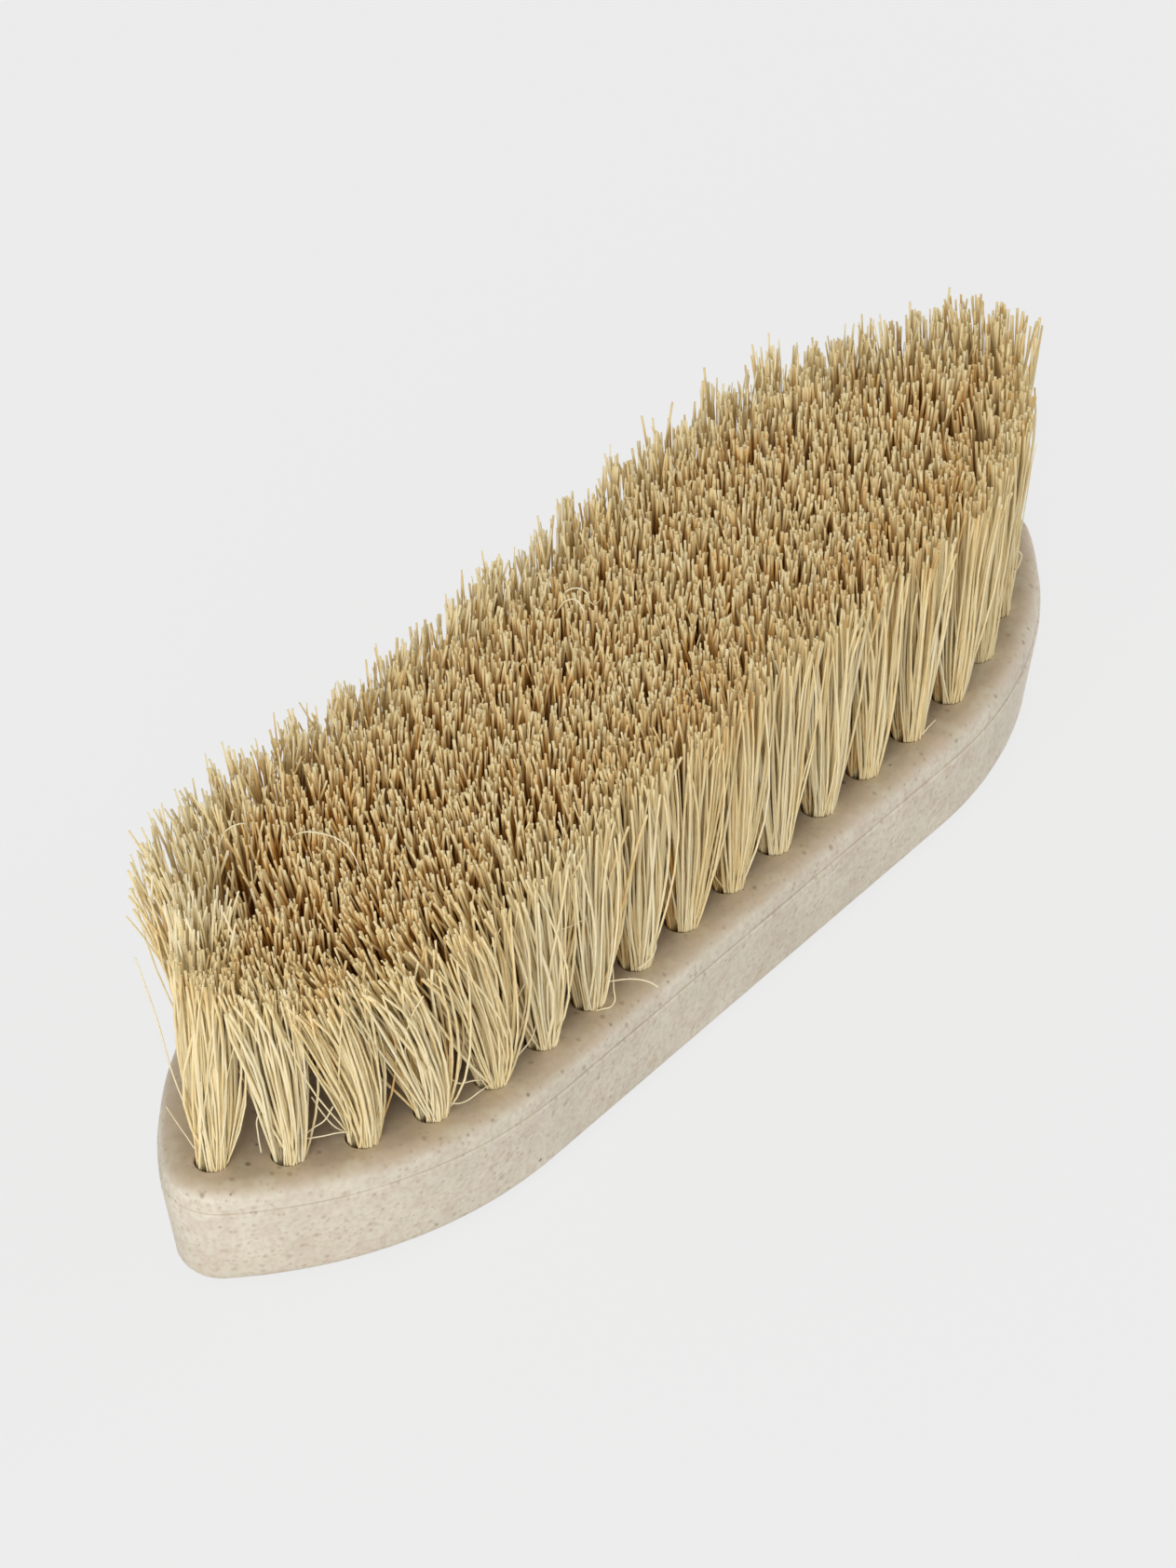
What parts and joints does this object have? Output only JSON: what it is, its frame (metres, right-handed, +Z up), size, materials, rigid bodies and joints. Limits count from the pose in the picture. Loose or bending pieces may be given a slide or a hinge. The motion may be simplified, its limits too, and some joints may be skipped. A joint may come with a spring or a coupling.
{
  "type": "mane and tail brush",
  "caption": "Long grooming brush for a horse's mane and tail: boat-shaped flecked block, pointed at both ends, with its flat face set all over with upright tufts of stiff plant fibre.",
  "frame": {"origin": "centre of the flat back that the brush lies on", "axes": "+X along the length of the brush, +Z up out of the bristle face"},
  "size_m": [0.21, 0.058, 0.0615],
  "materials": {
    "straw_composite": "satin, with fine brown flecks and short fibres",
    "plant_fibre": "dry stiff fibre",
    "steel_wire": "drawn and flattened"
  },
  "bodies": {
    "root": {"brush_plate": "straw_composite", "block_back": "straw_composite", "outer_row_tufts": "plant_fibre", "outer_row_wire": "steel_wire", "front_row_tufts": "plant_fibre", "front_row_wire": "steel_wire", "centre_row_tufts": "plant_fibre", "centre_row_wire": "steel_wire", "rear_row_tufts": "plant_fibre", "rear_row_wire": "steel_wire"}
  },
  "joints": []
}
